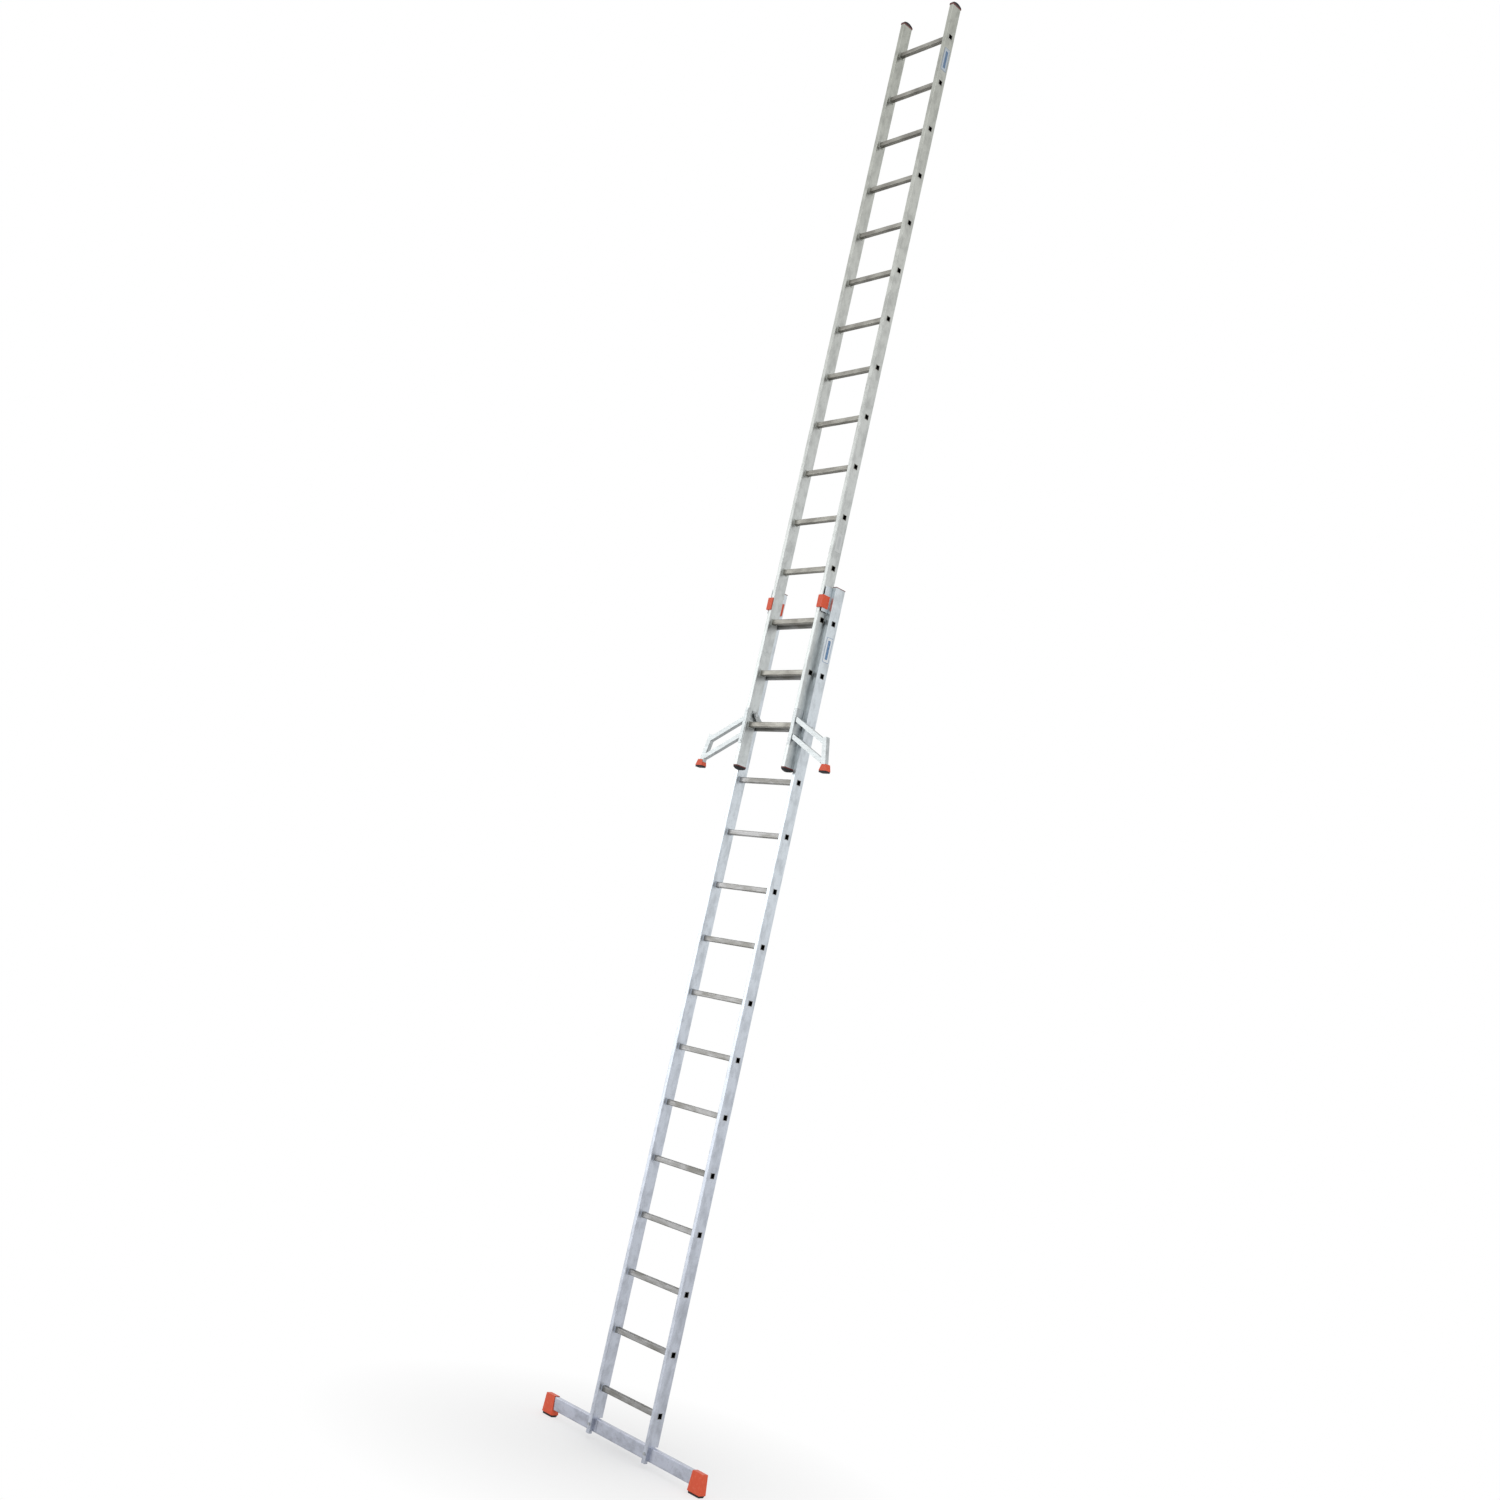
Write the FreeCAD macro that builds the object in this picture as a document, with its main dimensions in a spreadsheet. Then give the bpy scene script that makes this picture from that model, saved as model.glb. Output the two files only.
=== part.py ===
import FreeCAD, Part
import Sketcher
import os
import re

# Two-section aluminium extension ladder, upright in its own frame.
# +X is the climber's right, +Y points back towards the wall, +Z runs up along the stiles.
# The origin is on the floor, in the middle of the ladder's width and depth.

document = FreeCAD.newDocument("ExtensionLadder")
sheet = document.addObject("Spreadsheet::Sheet", "Sizes")

# name, millimetres (or degrees, or a count), what it is
sizes = [
    ("rung_pitch", 280, "from rung to rung"),
    ("rung_count", 15, "rungs in each section"),
    ("raised_steps", 12, "rung pitches that the upper section is raised by"),
    ("first_rung_height", 240, "floor to the middle of the lowest rung"),
    ("lower_half_width", 225, "middle to the outer face of a lower stile"),
    ("side_gap", 10, "between a lower stile and the upper stile beside it"),
    ("section_clearance", 5.5, "between the upper stiles' backs and the lower rungs"),
    ("upper_rung_rise", 5, "an upper rung stands this far above its lower partner"),
    ("stile_width", 25, "stile section, across the ladder"),
    ("stile_depth", 68, "stile section, front to back"),
    ("stile_wall", 2, "stile wall"),
    ("stile_corner", 3.5, "outside corner radius of a stile"),
    ("lower_head", 187, "top rung to the lower stile's end"),
    ("upper_head", 186, "top rung to the upper stile's end"),
    ("lower_tail", 215, "lowest rung to the lower stile's end"),
    ("upper_tail", 222, "lowest rung to the upper stile's end"),
    ("rung_side", 25, "rung section"),
    ("rung_wall", 1.8, "rung wall"),
    ("rung_corner", 3, "outside corner radius of a rung"),
    ("rib_height", 1.2, "tread ribs above the rung's faces"),
    ("rib_width", 2, "width of a tread rib"),
    ("rib_pitch", 4, "from rib to rib"),
    ("bead_proud", 4, "bead beyond the rung's side"),
    ("bead_length", 4, "bead along the rung"),
    ("lip_proud", 2.5, "flared lip beyond the rung's side"),
    ("lip_length", 0.8, "flared lip along the rung"),
    ("lip_opening", 10, "half the opening that the lip leaves into the rung"),
    ("seat_clearance", 0.1, "between pieces that are seated in each other"),
    ("bar_half_length", 594, "half the crossbar's length"),
    ("bar_depth", 28, "crossbar section, front to back"),
    ("bar_height", 63, "crossbar section, up and down"),
    ("bar_wall", 2.5, "crossbar wall"),
    ("bar_corner", 4, "outside corner radius of the crossbar"),
    ("bar_clearance", 1.2, "between the upper stiles' backs and the brackets on the crossbar"),
    ("bar_bottom", 36, "floor to the crossbar's underside"),
    ("cap_length", 80, "crossbar cap along the bar"),
    ("cap_wall", 2.6, "crossbar cap wall"),
    ("cap_end", 5, "crossbar cap end wall"),
    ("cap_flare", 9, "how far the cap's foot spreads backwards"),
    ("cap_lean", 8, "how far the cap's inner edge leans out at its top"),
    ("cap_taper", 2.5, "how far the cap's front and outer end draw in at its top"),
    ("sole_height", 10, "rubber sole under a crossbar cap"),
    ("sole_inset", 3, "sole's edge inside the cap's edge"),
    ("sole_round", 7, "rounding along the sole's underside"),
    ("bolt_radius", 4, "crossbar bolt shank"),
    ("bolt_head_radius", 7.5, "crossbar bolt head and nut"),
    ("bolt_head_height", 4.5, "crossbar bolt head and nut"),
    ("angle_reach", 25, "angle bracket's leg along the crossbar"),
    ("angle_height", 50, "angle bracket's height"),
    ("angle_gauge", 1.8, "angle bracket's sheet"),
    ("plug_insert", 18, "plug inside a tube's end"),
    ("lower_plug", 4, "flange of the lower section's top plug"),
    ("upper_plug", 6, "flange of the upper section's plugs"),
    ("upper_pad", 16, "rubber pad over an upper plug, in its middle"),
    ("plug_overhang", 1, "upper top plug beyond the stile"),
    ("pad_crown", 11, "the pad's middle above its ends"),
    ("pad_round", 6, "corner radius of an outrigger's sole"),
    ("plate_gauge", 2, "guide plate's sheet"),
    ("plate_top", 182, "top rung to the guide plate's top"),
    ("plate_step", 48, "top rung to the plate's wide part"),
    ("plate_tail", 70, "the plate reaches this far below the top rung"),
    ("plate_front", 46, "plate in front of the lower stile"),
    ("plate_back", 56, "plate behind the lower stile's front face"),
    ("slider_bottom", 66, "top rung to the guide slider's underside"),
    ("slider_height", 66, "guide slider's height"),
    ("slider_back", 53, "slider behind the lower stile's front face"),
    ("slider_lip", 5, "slider's lip in front of the upper stile"),
    ("slider_lip_reach", 22, "how far the lip covers the upper stile's front"),
    ("slider_skin", 3, "slider outside the guide plate"),
    ("slider_skin_gap", 8, "between that skin and the lower stile's front face"),
    ("slide_clearance", 1.5, "between the slider and the upper stile"),
    ("rivet_radius", 2.4, "rivet shank"),
    ("rivet_head_radius", 4.6, "rivet head"),
    ("rivet_head_height", 1.6, "rivet head"),
    ("hook_gauge", 5, "rung hook's plate"),
    ("hook_rest", 0.3, "between the hook and the rung that carries it"),
    ("hook_lip", 7, "hook's lip behind the rung"),
    ("hook_lip_drop", 18, "hook's lip below the rung's top"),
    ("hook_gap", 1.5, "between the lip and the rung's back"),
    ("pivot_rise", 58, "rung's middle to the hook's pivot"),
    ("pivot_forward", 42, "rung's middle to the hook's pivot, forwards"),
    ("eye_radius", 12, "hook's eye"),
    ("pin_radius", 5, "hook's pivot pin"),
    ("pin_clearance", 0.1, "between the pin and the eye"),
    ("pin_head_radius", 8.5, "pin head"),
    ("pin_head_height", 3, "pin head"),
    ("lug_gauge", 3, "hook's bracket plate"),
    ("lug_half_width", 18, "half the bracket plate's width"),
    ("lug_below", 27, "bracket plate below the pivot"),
    ("lug_above", 20, "bracket plate above the pivot"),
    ("spring_gap", 7, "room for the torsion spring between bracket and hook"),
    ("spring_wire", 0.8, "spring wire's radius"),
    ("spring_turns", 4, "turns of the torsion spring"),
    ("spring_pitch", 1.5, "from turn to turn of the torsion spring"),
    ("leg_foot_out", 459, "middle to the middle of an outrigger's foot"),
    ("leg_lean", 12, "outrigger leg's splay, degrees"),
    ("leg_top", 178, "outrigger leg's top above its sole"),
    ("leg_width", 28, "outrigger leg's section"),
    ("arm_slope", 27, "outrigger arms' slope, degrees"),
    ("arm_height", 24, "outrigger arm's section"),
    ("arm_top_rise", 272, "upper arm at the stile, above the sole"),
    ("arm_gap", 90, "between the two arms' middles, up and down"),
    ("outrigger_depth", 24, "outrigger tubes, front to back"),
    ("outrigger_wall", 2, "outrigger tube wall"),
    ("outrigger_inset", 2, "outrigger tubes behind the upper stile's front"),
    ("mantle_gauge", 2, "outrigger bracket's sheet"),
    ("mantle_bottom", 136, "outrigger bracket's lower edge above the sole"),
    ("mantle_height", 190, "outrigger bracket's height"),
    ("mantle_side", 50, "bracket's leg along the stile's outer face"),
    ("mantle_front", 20, "bracket's leg along the stile's front face"),
    ("rivet_inset", 14, "outrigger bracket's ends to its rivets"),
    ("rivet_edge", 12, "outrigger bracket's rear edge to its rivets"),
    ("foot_height", 34, "outrigger foot cap"),
    ("foot_top", 17, "half the foot cap's width at its top"),
    ("foot_bottom", 26, "half the foot cap's width at its bottom"),
    ("foot_depth", 17, "half the foot cap's depth"),
    ("foot_sole", 8, "rubber sole under the outrigger's foot"),
]
names = {}
for row, (name, value, note) in enumerate(sizes, 1):
    sheet.set("A%d" % row, note)
    sheet.set("B%d" % row, str(value))
    sheet.setAlias("B%d" % row, name)
    names[name] = "Sizes." + name
document.recompute()

# places and sizes that follow from the sheet
follow = [
    ("front_offset", "stile_depth / 2 + rung_side / 2 + section_clearance"),
    ("lower_front", "(front_offset + slide_clearance + slider_lip - stile_depth) / 2"),
    ("upper_half_width", "lower_half_width - stile_width - side_gap"),
    ("bar_setback", "stile_depth - front_offset + bar_clearance + angle_gauge"),
    ("upper_front", "lower_front - front_offset"),
    ("upper_back", "upper_front + stile_depth"),
    ("lower_back", "lower_front + stile_depth"),
    ("lower_inside", "lower_half_width - stile_width"),
    ("upper_inside", "upper_half_width - stile_width"),
    ("lower_rung_depth", "lower_front + stile_depth / 2"),
    ("upper_rung_depth", "upper_front + stile_depth / 2"),
    ("lower_top_rung", "first_rung_height + (rung_count - 1) * rung_pitch"),
    ("held_rung", "first_rung_height + raised_steps * rung_pitch"),
    ("upper_first_rung", "held_rung + upper_rung_rise"),
    ("upper_top_rung", "upper_first_rung + (rung_count - 1) * rung_pitch"),
    ("lower_foot", "first_rung_height - lower_tail"),
    ("lower_end", "lower_top_rung + lower_head"),
    ("upper_foot", "upper_first_rung - upper_tail"),
    ("upper_end", "upper_top_rung + upper_head"),
    ("upper_sole", "upper_foot - upper_plug - upper_pad"),
    ("bar_front", "lower_front + bar_setback"),
    ("bar_back", "bar_front + bar_depth"),
    ("bar_top", "bar_bottom + bar_height"),
    ("bar_middle", "bar_bottom + bar_height / 2"),
    ("bolt_out", "lower_half_width - stile_width / 2"),
    ("cap_inner", "bar_half_length + cap_end - cap_length"),
    ("cap_outer", "bar_half_length + cap_end"),
    ("hook_right_face", "upper_inside - lug_gauge - spring_gap"),
    ("pivot_depth", "lower_rung_depth - pivot_forward"),
    ("pivot_height", "held_rung + pivot_rise"),
    ("tread_half", "rung_side / 2 + rib_height"),
    ("tail_back", "lower_rung_depth - tread_half - bead_proud"),
    ("plate_inner", "lower_inside - plate_gauge"),
    ("slider_inner", "upper_half_width + slide_clearance"),
    ("mantle_outer", "upper_half_width + mantle_gauge"),
    ("outrigger_front", "upper_front + outrigger_inset"),
    ("outrigger_middle", "outrigger_front + outrigger_depth / 2"),
    ("mantle_low", "upper_sole + mantle_bottom"),
    ("sole_front", "bar_front - cap_wall + sole_inset"),
    ("sole_back", "bar_back + cap_wall + cap_flare - sole_inset"),
]


def cells(text):
    """An expression in the words above becomes one in the sheet's cells."""
    return re.sub(r"[a-z]\w+", lambda word: names.get(word.group(), word.group()), text)


for name, text in follow:
    names[name] = "(" + cells(text) + ")"

pieces = []     # the objects that become files, one for each node
axis_turns = {
    "x": FreeCAD.Rotation(FreeCAD.Vector(0, 1, 0), 90),
    "y": FreeCAD.Rotation(FreeCAD.Vector(1, 0, 0), -90),
    "z": FreeCAD.Rotation(),
}


def piece(item):
    pieces.append(item)
    return item


def bind(item, place, text):
    item.setExpression(place, cells(text))


def bind_place(item, x, y, z):
    for letter, text in zip("xyz", (x, y, z)):
        bind(item, "Placement.Base." + letter, text)


def box(name, low, high):
    item = document.addObject("Part::Box", name)
    for size, start, end in zip(("Length", "Width", "Height"), low, high):
        bind(item, size, "(%s) - (%s)" % (end, start))
    bind_place(item, *low)
    return item


def cylinder(name, radius, length, axis, start):
    item = document.addObject("Part::Cylinder", name)
    item.Placement = FreeCAD.Placement(FreeCAD.Vector(), axis_turns[axis])
    bind(item, "Radius", radius)
    bind(item, "Height", length)
    bind_place(item, *start)
    return item


def fuse(name, items):
    item = document.addObject("Part::MultiFuse", name)
    item.Shapes = items
    item.Refine = True
    return item


def common(name, items):
    item = document.addObject("Part::MultiCommon", name)
    item.Shapes = items
    item.Refine = True
    return item


def cut(name, base, tool):
    item = document.addObject("Part::Cut", name)
    item.Base = base
    item.Tool = tool
    item.Refine = True
    return item


def mirror(name, source):
    item = document.addObject("Part::Mirroring", name)
    item.Source = source
    item.Normal = (1, 0, 0)
    return item


def group(name, items):
    item = document.addObject("Part::Compound", name)
    item.Links = items
    return item


def pair(name, right):
    """Both sides as one group of two solids."""
    return piece(group(name, [right, mirror(name + "_mirrored", right)]))


def left_and_right(stem, right):
    """Both sides as two pieces."""
    right.Label = stem + "_right"
    piece(right)
    piece(mirror(stem + "_left", right))


def sketch_on(body, name, plane):
    sketch = body.newObject("Sketcher::SketchObject", name)
    face = next(item for item in body.Origin.OriginFeatures if item.Role == plane)
    sketch.AttachmentSupport = (face, [""])
    sketch.MapMode = "FlatFace"
    return sketch


def outline(sketch, corners):
    """A closed outline of straight sides whose corners are pairs of expressions."""
    first = sketch.GeometryCount
    count = len(corners)
    values = [(sheet_value(x), sheet_value(y)) for x, y in corners]
    for index in range(count):
        start = FreeCAD.Vector(*values[index], 0)
        end = FreeCAD.Vector(*values[(index + 1) % count], 0)
        sketch.addGeometry(Part.LineSegment(start, end))
    for index in range(count):
        after = first + (index + 1) % count
        sketch.addConstraint(Sketcher.Constraint("Coincident", first + index, 2, after, 1))
    for index, corner in enumerate(corners):
        for kind, text, value in zip(("DistanceX", "DistanceY"), corner, values[index]):
            constraint = Sketcher.Constraint(kind, -1, 1, first + index, 1, value)
            number = sketch.addConstraint(constraint)
            bind(sketch, "Constraints[%d]" % number, text)


probe = document.addObject("App::FeaturePython", "Probe")
probe.addProperty("App::PropertyFloat", "Value")


def sheet_value(text):
    """What an expression comes to, read back from a property bound to it."""
    bind(probe, "Value", text)
    probe.recompute()
    return probe.Value


def rectangle(sketch, left, right, bottom, top):
    outline(sketch, [(left, bottom), (right, bottom), (right, top), (left, top)])


def square(sketch, half):
    rectangle(sketch, "-(%s)" % half, half, "-(%s)" % half, half)


def circle(sketch, x, y, radius):
    centre = FreeCAD.Vector(sheet_value(x), sheet_value(y), 0)
    number = sketch.addGeometry(Part.Circle(centre, FreeCAD.Vector(0, 0, 1), sheet_value(radius)))
    for kind, text, value in (("DistanceX", x, centre.x), ("DistanceY", y, centre.y)):
        place = sketch.addConstraint(Sketcher.Constraint(kind, -1, 1, number, 3, value))
        bind(sketch, "Constraints[%d]" % place, text)
    size = sketch.addConstraint(Sketcher.Constraint("Radius", number, sheet_value(radius)))
    bind(sketch, "Constraints[%d]" % size, radius)


def pad(body, sketch, length, backwards=False):
    feature = body.newObject("PartDesign::Pad", sketch.Name + "_pad")
    feature.Profile = sketch
    feature.Reversed = backwards
    bind(feature, "Length", length)
    sketch.Visibility = False
    return feature


def pocket(body, sketch, length, along_normal=True):
    document.recompute()
    before = body.Shape.Volume
    feature = body.newObject("PartDesign::Pocket", sketch.Name + "_pocket")
    feature.Profile = sketch
    feature.Reversed = along_normal
    bind(feature, "Length", length)
    document.recompute()
    if not body.Shape.Volume < before:
        raise ValueError(sketch.Name + " cuts nothing")
    return feature


def round_edges(body, base, direction, radius):
    """Rounds the straight edges of a feature that run along one axis."""
    document.recompute()
    axis = FreeCAD.Vector(*direction)
    chosen = []
    for number, edge in enumerate(base.Shape.Edges, 1):
        if edge.Curve.TypeId == "Part::GeomLine" and abs(edge.Curve.Direction.dot(axis)) > 0.999:
            chosen.append("Edge%d" % number)
    feature = body.newObject("PartDesign::Fillet", base.Name + "_round")
    feature.Base = (base, chosen)
    bind(feature, "Radius", radius)
    return feature


def repeat_up(body, feature, count, pitch):
    """Repeats a feature upwards, count times."""
    document.recompute()
    pattern = body.newObject("PartDesign::LinearPattern", feature.Name + "_row")
    pattern.Originals = [feature]
    axis = next(item for item in body.Origin.OriginFeatures if item.Role == "Z_Axis")
    pattern.Direction = (axis, [""])
    bind(pattern, "Length", "(%s - 1) * (%s)" % (count, pitch))
    bind(pattern, "Occurrences", count)
    body.Tip = pattern
    document.recompute()
    return pattern


def rivet(name, axis, start, grip):
    """A rivet whose set head is at start and whose grip runs along an axis to its formed head."""
    along = "xyz".index(axis)
    below = list(start)
    below[along] = "%s - rivet_head_height" % start[along]
    above = list(start)
    above[along] = "%s + %s" % (start[along], grip)
    shank = cylinder(name + "_shank", "rivet_radius - seat_clearance", grip, axis, start)
    set_head = cylinder(name + "_set_head", "rivet_head_radius", "rivet_head_height", axis, below)
    tail = cylinder(name + "_tail", "rivet_head_radius", "rivet_head_height", axis, above)
    return fuse(name, [shank, set_head, tail])


# ---- rungs: ribbed square tubes, beaded inside the stiles and flared outside them

def rung_form(name, half_width, flared=True):
    inside = "%s - stile_width" % half_width
    body = document.addObject("PartDesign::Body", name)
    section = sketch_on(body, name + "_section", "YZ_Plane")
    square(section, "rung_side / 2")
    bind(section, "AttachmentOffset.Base.z", "-(%s)" % half_width)
    tube = pad(body, section, "2 * (%s)" % half_width)
    round_edges(body, tube, (1, 0, 0), "rung_corner")
    ribs = sketch_on(body, name + "_ribs", "YZ_Plane")
    for step in (-2, -1, 0, 1, 2):
        middle = "%d * rib_pitch" % step
        rectangle(ribs, middle + " - rib_width / 2", middle + " + rib_width / 2", "-tread_half", "tread_half")
    bind(ribs, "AttachmentOffset.Base.z", "-(%s)" % half_width)
    pad(body, ribs, "2 * (%s)" % half_width)
    for side, start in (("near", "-(%s)" % inside), ("far", "%s - bead_length" % inside)):
        bead = sketch_on(body, name + "_bead_" + side, "YZ_Plane")
        square(bead, "rung_side / 2 + bead_proud")
        bind(bead, "AttachmentOffset.Base.z", start)
        pad(body, bead, "bead_length")
    bore = sketch_on(body, name + "_bore", "YZ_Plane")
    square(bore, "rung_side / 2 - rung_wall")
    bind(bore, "AttachmentOffset.Base.z", "-(%s)" % half_width)
    pocket(body, bore, "2 * (%s)" % half_width)
    if flared:
        for side, start in (("near", "-(%s) - lip_length" % half_width), ("far", half_width)):
            lip = sketch_on(body, name + "_lip_" + side, "YZ_Plane")
            square(lip, "rung_side / 2 + lip_proud")
            square(lip, "lip_opening")
            bind(lip, "AttachmentOffset.Base.z", start)
            pad(body, lip, "lip_length")
    return body


count_rungs = int(sheet.rung_count)
for section, half_width, depth, first in (
        ("lower", "lower_half_width", "lower_rung_depth", "first_rung_height"),
        ("upper", "upper_half_width", "upper_rung_depth", "upper_first_rung")):
    form = rung_form(section + "_rung_form", half_width)
    for number in range(count_rungs):
        if section == "upper" and number == 0:
            # the outrigger brackets cover this rung's ends, so they are flush with the stiles
            rung = piece(group("upper_rung_01", [rung_form("flush_rung_form", half_width, flared=False)]))
        else:
            rung = piece(group("%s_rung_%02d" % (section, number + 1), [form]))
        bind_place(rung, "0", depth, "%s + %d * rung_pitch" % (first, number))


# ---- stiles: rounded box tubes with a row of seats for the rungs

def stile_form(name, half_width, front, foot, end, first_rung):
    body = document.addObject("PartDesign::Body", name)
    bind_place(body, "%s - stile_width" % half_width, front, foot)
    length = "%s - %s" % (end, foot)
    section = sketch_on(body, name + "_section", "XY_Plane")
    rectangle(section, "0", "stile_width", "0", "stile_depth")
    tube = pad(body, section, length)
    round_edges(body, tube, (0, 0, 1), "stile_corner")
    bore = sketch_on(body, name + "_bore", "XY_Plane")
    rectangle(bore, "stile_wall", "stile_width - stile_wall", "stile_wall", "stile_depth - stile_wall")
    pocket(body, bore, length)
    seat = sketch_on(body, name + "_seat", "YZ_Plane")
    middle = "%s - %s" % (first_rung, foot)
    side = "(rung_side / 2 + seat_clearance)"
    tread = "(tread_half + seat_clearance)"
    rectangle(seat, "stile_depth / 2 - " + side, "stile_depth / 2 + " + side,
              middle + " - " + tread, middle + " + " + tread)
    seats = pocket(body, seat, "stile_width")
    repeat_up(body, seats, "rung_count", "rung_pitch")
    return body


lower_stile = stile_form("lower_stile_right", "lower_half_width", "lower_front", "lower_foot",
                         "lower_end", "first_rung_height")
# behind the crossbar's front face the stile stops at the bar's top
notch = sketch_on(lower_stile, "lower_stile_notch", "YZ_Plane")
rectangle(notch, "bar_setback", "stile_depth + stile_wall", "-stile_wall", "bar_top - lower_foot")
pocket(lower_stile, notch, "stile_width")
bolt_hole = sketch_on(lower_stile, "lower_stile_bolt_hole", "XZ_Plane")
circle(bolt_hole, "stile_width / 2", "bar_middle - lower_foot", "bolt_radius + seat_clearance")
pocket(lower_stile, bolt_hole, "stile_wall", along_normal=False)

guide_rivets_at = [
    ("lower_front + plate_back * 0.35", "lower_top_rung + slider_bottom + slider_height / 5"),
    ("lower_front + plate_back * 0.75", "lower_end - plug_insert - 2 * rivet_head_radius"),
    ("(lower_front + tail_back) / 2", "lower_top_rung - plate_tail + 2 * rivet_head_radius"),
]
guide_holes = sketch_on(lower_stile, "lower_stile_guide_holes", "YZ_Plane")
for depth, height in guide_rivets_at:
    circle(guide_holes, "(%s) - lower_front" % depth, "%s - lower_foot" % height, "rivet_radius")
pocket(lower_stile, guide_holes, "stile_wall")
left_and_right("lower_stile", lower_stile)

upper_stile = stile_form("upper_stile_right", "upper_half_width", "upper_front", "upper_foot",
                         "upper_end", "upper_first_rung")
mantle_rivets_at = []
for height in ("mantle_low + rivet_inset", "mantle_low + mantle_height - rivet_inset"):
    mantle_rivets_at.append(("x", "upper_front + mantle_side - rivet_edge", height))
    mantle_rivets_at.append(("y", "upper_half_width - mantle_front / 2", height))
outer_holes = sketch_on(upper_stile, "upper_stile_outer_holes", "YZ_Plane")
front_holes = sketch_on(upper_stile, "upper_stile_front_holes", "XZ_Plane")
bind(outer_holes, "AttachmentOffset.Base.z", "stile_width - stile_wall")
for face, across, height in mantle_rivets_at:
    if face == "x":
        circle(outer_holes, "%s - upper_front" % across, "%s - upper_foot" % height, "rivet_radius")
    else:
        circle(front_holes, "%s - upper_inside" % across, "%s - upper_foot" % height, "rivet_radius")
pocket(upper_stile, outer_holes, "stile_wall")
pocket(upper_stile, front_holes, "stile_wall", along_normal=False)
left_and_right("upper_stile", upper_stile)


# ---- crossbar: a wide box tube across the lower section's foot, with caps and soles

crossbar = document.addObject("PartDesign::Body", "crossbar")
bind_place(crossbar, "-bar_half_length", "bar_front", "bar_bottom")
bar_section = sketch_on(crossbar, "crossbar_section", "YZ_Plane")
rectangle(bar_section, "0", "bar_depth", "0", "bar_height")
bar_tube = pad(crossbar, bar_section, "2 * bar_half_length")
round_edges(crossbar, bar_tube, (1, 0, 0), "bar_corner")
bar_bore = sketch_on(crossbar, "crossbar_bore", "YZ_Plane")
rectangle(bar_bore, "bar_wall", "bar_depth - bar_wall", "bar_wall", "bar_height - bar_wall")
pocket(crossbar, bar_bore, "2 * bar_half_length")
bar_holes = sketch_on(crossbar, "crossbar_bolt_holes", "XZ_Plane")
for side in ("-", "+"):
    circle(bar_holes, "bar_half_length %s bolt_out" % side, "bar_height / 2", "bolt_radius + seat_clearance")
pocket(crossbar, bar_holes, "bar_depth", along_normal=False)
piece(crossbar)

cap_body = document.addObject("PartDesign::Body", "crossbar_cap_right")
bind_place(cap_body, "cap_inner", "0", "0")
cap_outline = sketch_on(cap_body, "cap_outline", "YZ_Plane")
outline(cap_outline, [("bar_front - cap_wall - cap_taper", "sole_height"),
                      ("bar_back + cap_wall + cap_flare", "sole_height"),
                      ("bar_back + cap_wall", "bar_top + cap_wall"),
                      ("bar_front - cap_wall", "bar_top + cap_wall")])
cap_block = pad(cap_body, cap_outline, "cap_length")
round_edges(cap_body, cap_block, (1, 0, 0), "cap_wall")
cap_socket = sketch_on(cap_body, "cap_socket", "YZ_Plane")
rectangle(cap_socket, "bar_front - seat_clearance", "bar_back + seat_clearance",
          "bar_bottom - seat_clearance", "bar_top + seat_clearance")
pocket(cap_body, cap_socket, "cap_length - cap_end")
cap_sides = sketch_on(cap_body, "cap_sides", "XZ_Plane")
outline(cap_sides, [("0", "sole_height"), ("0", "bar_top + cap_wall"), ("cap_lean", "bar_top + cap_wall")])
outline(cap_sides, [("cap_length", "sole_height"), ("cap_length", "bar_top + cap_wall"),
                    ("cap_length - cap_taper", "bar_top + cap_wall")])
pocket(cap_body, cap_sides, "bar_back + cap_wall + cap_flare", along_normal=False)
left_and_right("crossbar_cap", cap_body)

sole_body = document.addObject("PartDesign::Body", "crossbar_sole_form")
bind_place(sole_body, "cap_inner + sole_inset", "0", "0")
sole_outline = sketch_on(sole_body, "sole_outline", "YZ_Plane")
rectangle(sole_outline, "sole_front", "sole_back", "0", "sole_height")
pad(sole_body, sole_outline, "cap_length - 2 * sole_inset")
heel = sketch_on(sole_body, "sole_heel", "YZ_Plane")
outline(heel, [("sole_back - sole_round", "0"), ("sole_back", "0"), ("sole_back", "sole_round")])
pocket(sole_body, heel, "cap_length - 2 * sole_inset")
pair("crossbar_soles", sole_body)

bolt_length = "bar_back - lower_front"
bolt_shank = cylinder("bolt_shank", "bolt_radius", bolt_length, "y",
                      ("bolt_out", "lower_front", "bar_middle"))
bolt_head = cylinder("bolt_head", "bolt_head_radius", "bolt_head_height", "y",
                     ("bolt_out", "lower_front - bolt_head_height", "bar_middle"))
bolt_nut = cylinder("bolt_nut", "bolt_head_radius", "bolt_head_height", "y",
                    ("bolt_out", "bar_back", "bar_middle"))
pair("crossbar_bolts", fuse("crossbar_bolt", [bolt_shank, bolt_head, bolt_nut]))

angle_low = "bar_middle - angle_height / 2"
angle_high = "bar_middle + angle_height / 2"
angle_along = box("angle_along_bar", ("lower_inside - angle_reach", "bar_front - angle_gauge", angle_low),
                  ("lower_inside", "bar_front", angle_high))
angle_stile = box("angle_along_stile",
                  ("lower_inside - angle_gauge", "lower_front + stile_corner", angle_low),
                  ("lower_inside", "bar_front", angle_high))
pair("crossbar_brackets", fuse("crossbar_bracket", [angle_along, angle_stile]))


# ---- plugs and pads in the stiles' ends

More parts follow.
